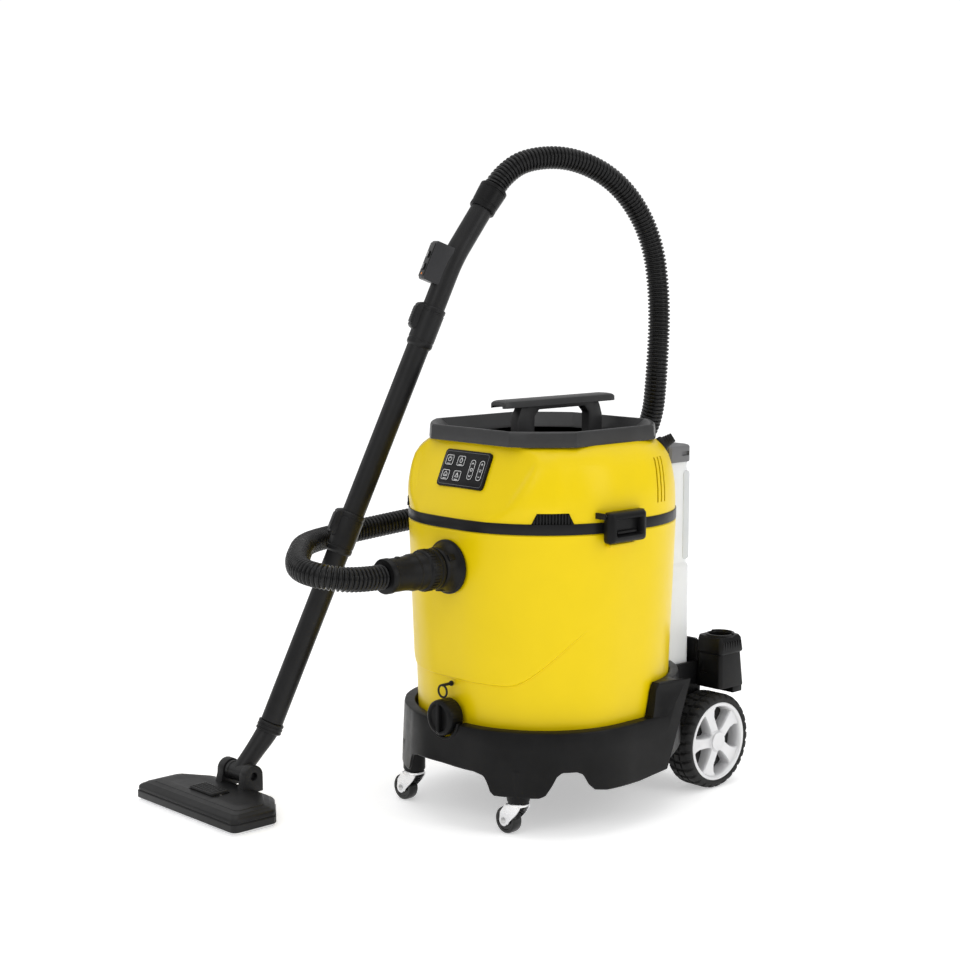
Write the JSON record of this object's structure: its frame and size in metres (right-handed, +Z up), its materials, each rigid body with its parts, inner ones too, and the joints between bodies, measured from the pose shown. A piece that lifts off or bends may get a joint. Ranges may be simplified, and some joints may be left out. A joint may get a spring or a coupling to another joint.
{
  "type": "carpet cleaner machine",
  "caption": "Canister carpet cleaner on a wheeled trolley: yellow recovery tank and motor head, rear clean-water tank, corrugated hose, wand with remote box and floor nozzle.",
  "frame": {"origin": "on the floor, under the middle of the machine's bounding box without the hose; the drum axis stands at x 0.100, y 0.080", "axes": "+Z up, -Y towards the front where the hose plugs in, +X towards the side with the tool holder"},
  "size_m": [0.628, 0.7987, 1.0046],
  "materials": {
    "yellow_shell": "satin moulded",
    "black_plastic": "fine grained moulding",
    "tray_plastic": "satin moulded",
    "tyre_rubber": "moulded tread",
    "silver_hub": "silver painted",
    "zinc_steel": "bright zinc plate",
    "caster_black": "smooth",
    "clear_tank": "translucent blow moulded",
    "grey_plastic": "satin",
    "panel_face": "smooth",
    "key_face": "smooth with light outline",
    "circuit_green": "solder mask",
    "steel": "turned",
    "inner_plastic": "plain moulding",
    "hose_plastic": "corrugated",
    "wand_plastic": "satin",
    "bristle": "nylon brush",
    "sole_metal": "pressed",
    "soft_rubber": "flexible"
  },
  "bodies": {
    "root": {"base_trolley": "black_plastic", "rear_axle": "steel", "recovery_tank": "yellow_shell", "inlet_port": "black_plastic", "hose_connector": "black_plastic", "drain_spout": "black_plastic", "drain_tether": "soft_rubber", "water_pump": "inner_plastic", "tool_holder": "black_plastic", "lower_wand": "wand_plastic", "upper_wand": "wand_plastic", "wand_grip": "wand_plastic", "remote_box": "wand_plastic", "hose_cuff": "wand_plastic", "hose": "hose_plastic"},
    "rear_wheel_left": {"tyre_left": "tyre_rubber", "wheel_hub_left": "silver_hub", "hub_cap_left": "silver_hub"},
    "rear_wheel_right": {"tyre_right": "tyre_rubber", "wheel_hub_right": "silver_hub", "hub_cap_right": "silver_hub"},
    "caster_left": {"caster_fork_left": "zinc_steel"},
    "caster_left_wheel": {"caster_wheel_left": "caster_black"},
    "caster_right": {"caster_fork_right": "zinc_steel"},
    "caster_right_wheel": {"caster_wheel_right": "caster_black"},
    "drain_plug": {"drain_cap": "black_plastic"},
    "head": {"head_base": "tray_plastic", "head_cover": "yellow_shell", "corner_grilles": "black_plastic", "top_tray": "tray_plastic", "carry_handle": "tray_plastic", "control_panel": "panel_face", "circuit_board": "circuit_green", "motor_housing": "inner_plastic", "vacuum_motor": "steel", "float_cage": "inner_plastic", "cord_gland": "black_plastic"},
    "latch_left": {"latch_left": "black_plastic"},
    "latch_right": {"latch_right": "black_plastic"},
    "impeller": {"impeller": "inner_plastic"},
    "float": {"shutoff_float": "inner_plastic"},
    "clean_tank": {"clean_water_tank": "clear_tank", "pickup_tube": "inner_plastic"},
    "clean_lid": {"clean_tank_lid": "grey_plastic"},
    "button_lower": {"release_button_lower": "wand_plastic"},
    "button_upper": {"release_button_upper": "wand_plastic"},
    "remote_low": {"remote_key_low": "key_face"},
    "remote_high": {"remote_key_high": "key_face"},
    "elbow": {"nozzle_elbow": "black_plastic"},
    "nozzle": {"nozzle_body": "black_plastic", "sole_plate": "sole_metal"},
    "brush": {"brush_strips": "bristle"},
    "pedal": {"brush_pedal": "black_plastic"},
    "key_top_left": {"key_top_left": "key_face"},
    "key_bottom_left": {"key_bottom_left": "key_face"},
    "key_top_mid": {"key_top_mid": "key_face"},
    "key_bottom_mid": {"key_bottom_mid": "key_face"},
    "rocker_mid": {"rocker_mid": "key_face"},
    "rocker_right": {"rocker_right": "key_face"}
  },
  "joints": [
    {"name": "rear_wheel_left_spin", "type": "hinge", "parent": "root", "child": "rear_wheel_left", "pos_m": [-0.036, 0.315, 0.075], "axis": [1, 0, 0], "continuous": true},
    {"name": "caster_left_swivel", "type": "hinge", "parent": "root", "child": "caster_left", "pos_m": [-0.014, -0.081, 0.06], "axis": [0, 0, 1], "continuous": true},
    {"name": "caster_left_spin", "type": "hinge", "parent": "caster_left", "child": "caster_left_wheel", "pos_m": [-0.034, -0.081, 0.02], "axis": [0, 1, 0], "continuous": true},
    {"name": "latch_left_release", "type": "hinge", "parent": "head", "child": "latch_left", "pos_m": [-0.1, 0.044, 0.468], "axis": [0, 1, 0], "range_deg": [0, 75]},
    {"name": "rear_wheel_right_spin", "type": "hinge", "parent": "root", "child": "rear_wheel_right", "pos_m": [0.236, 0.315, 0.075], "axis": [1, 0, 0], "continuous": true},
    {"name": "caster_right_swivel", "type": "hinge", "parent": "root", "child": "caster_right", "pos_m": [0.214, -0.081, 0.06], "axis": [0, 0, 1], "continuous": true},
    {"name": "caster_right_spin", "type": "hinge", "parent": "caster_right", "child": "caster_right_wheel", "pos_m": [0.194, -0.081, 0.02], "axis": [0, 1, 0], "continuous": true},
    {"name": "latch_right_release", "type": "hinge", "parent": "head", "child": "latch_right", "pos_m": [0.3, 0.044, 0.468], "axis": [0, -1, 0], "range_deg": [0, 75]},
    {"name": "head_lift_off", "type": "slide", "parent": "root", "child": "head", "axis": [0, 0, 1], "range_m": [0, 0.1]},
    {"name": "clean_tank_lift_off", "type": "slide", "parent": "root", "child": "clean_tank", "axis": [0, 0, 1], "range_m": [0, 0.3]},
    {"name": "clean_lid_lift_off", "type": "slide", "parent": "clean_tank", "child": "clean_lid", "axis": [0, 0, 1], "range_m": [0, 0.03]},
    {"name": "drain_cap_twist", "type": "hinge", "parent": "root", "child": "drain_plug", "pos_m": [0.1, -0.125, 0.162], "axis": [0, -1, 0], "range_deg": [0, 90]},
    {"name": "impeller_spin", "type": "hinge", "parent": "head", "child": "impeller", "pos_m": [0.1, 0.08, 0.465], "axis": [0, 0, 1], "continuous": true},
    {"name": "float_rise", "type": "slide", "parent": "head", "child": "float", "axis": [0, 0, 1], "range_m": [0, 0.045]},
    {"name": "key_top_left_press", "type": "slide", "parent": "head", "child": "key_top_left", "axis": [0, 0.9143, -0.4051], "range_m": [0, 0.001], "stiffness_N_per_m": 400, "springref_m": -0.0005},
    {"name": "key_bottom_left_press", "type": "slide", "parent": "head", "child": "key_bottom_left", "axis": [0, 0.9143, -0.4051], "range_m": [0, 0.001], "stiffness_N_per_m": 400, "springref_m": -0.0005},
    {"name": "key_top_mid_press", "type": "slide", "parent": "head", "child": "key_top_mid", "axis": [0, 0.9143, -0.4051], "range_m": [0, 0.001], "stiffness_N_per_m": 400, "springref_m": -0.0005},
    {"name": "key_bottom_mid_press", "type": "slide", "parent": "head", "child": "key_bottom_mid", "axis": [0, 0.9143, -0.4051], "range_m": [0, 0.001], "stiffness_N_per_m": 400, "springref_m": -0.0005},
    {"name": "rocker_mid_press", "type": "slide", "parent": "head", "child": "rocker_mid", "axis": [0, 0.9143, -0.4051], "range_m": [0, 0.001], "stiffness_N_per_m": 400, "springref_m": -0.0005},
    {"name": "rocker_right_press", "type": "slide", "parent": "head", "child": "rocker_right", "axis": [0, 0.9143, -0.4051], "range_m": [0, 0.001], "stiffness_N_per_m": 400, "springref_m": -0.0005},
    {"name": "release_lower_press", "type": "slide", "parent": "root", "child": "button_lower", "axis": [0.3979, 0.8339, -0.3824], "range_m": [0, 0.003], "stiffness_N_per_m": 500, "springref_m": -0.001},
    {"name": "release_upper_press", "type": "slide", "parent": "root", "child": "button_upper", "axis": [0.3979, 0.8339, -0.3824], "range_m": [0, 0.003], "stiffness_N_per_m": 500, "springref_m": -0.001},
    {"name": "remote_low_press", "type": "slide", "parent": "root", "child": "remote_low", "axis": [0.3979, 0.8339, -0.3824], "range_m": [0, 0.0012], "stiffness_N_per_m": 400, "springref_m": -0.0005},
    {"name": "remote_high_press", "type": "slide", "parent": "root", "child": "remote_high", "axis": [0.3979, 0.8339, -0.3824], "range_m": [0, 0.0012], "stiffness_N_per_m": 400, "springref_m": -0.0005},
    {"name": "elbow_swivel", "type": "hinge", "parent": "root", "child": "elbow", "pos_m": [-0.175, -0.231, 0.122], "axis": [0.1645, 0.3449, 0.9241], "range_deg": [-60, 60]},
    {"name": "nozzle_pitch", "type": "hinge", "parent": "elbow", "child": "nozzle", "pos_m": [-0.1855, -0.285, 0.051], "axis": [1, 0, 0], "range_deg": [-30, 30]},
    {"name": "pedal_rock", "type": "hinge", "parent": "nozzle", "child": "pedal", "pos_m": [-0.1855, -0.3425, 0.0305], "axis": [1, 0, 0], "range_deg": [0, 8]},
    {"name": "brush_lift", "type": "slide", "parent": "nozzle", "child": "brush", "axis": [0, 0, 1], "range_m": [0, 0.005]}
  ],
  "couplings": [
    {"joint": "pedal_rock", "follows": "brush_lift", "rad_per_m": 27.9}
  ]
}
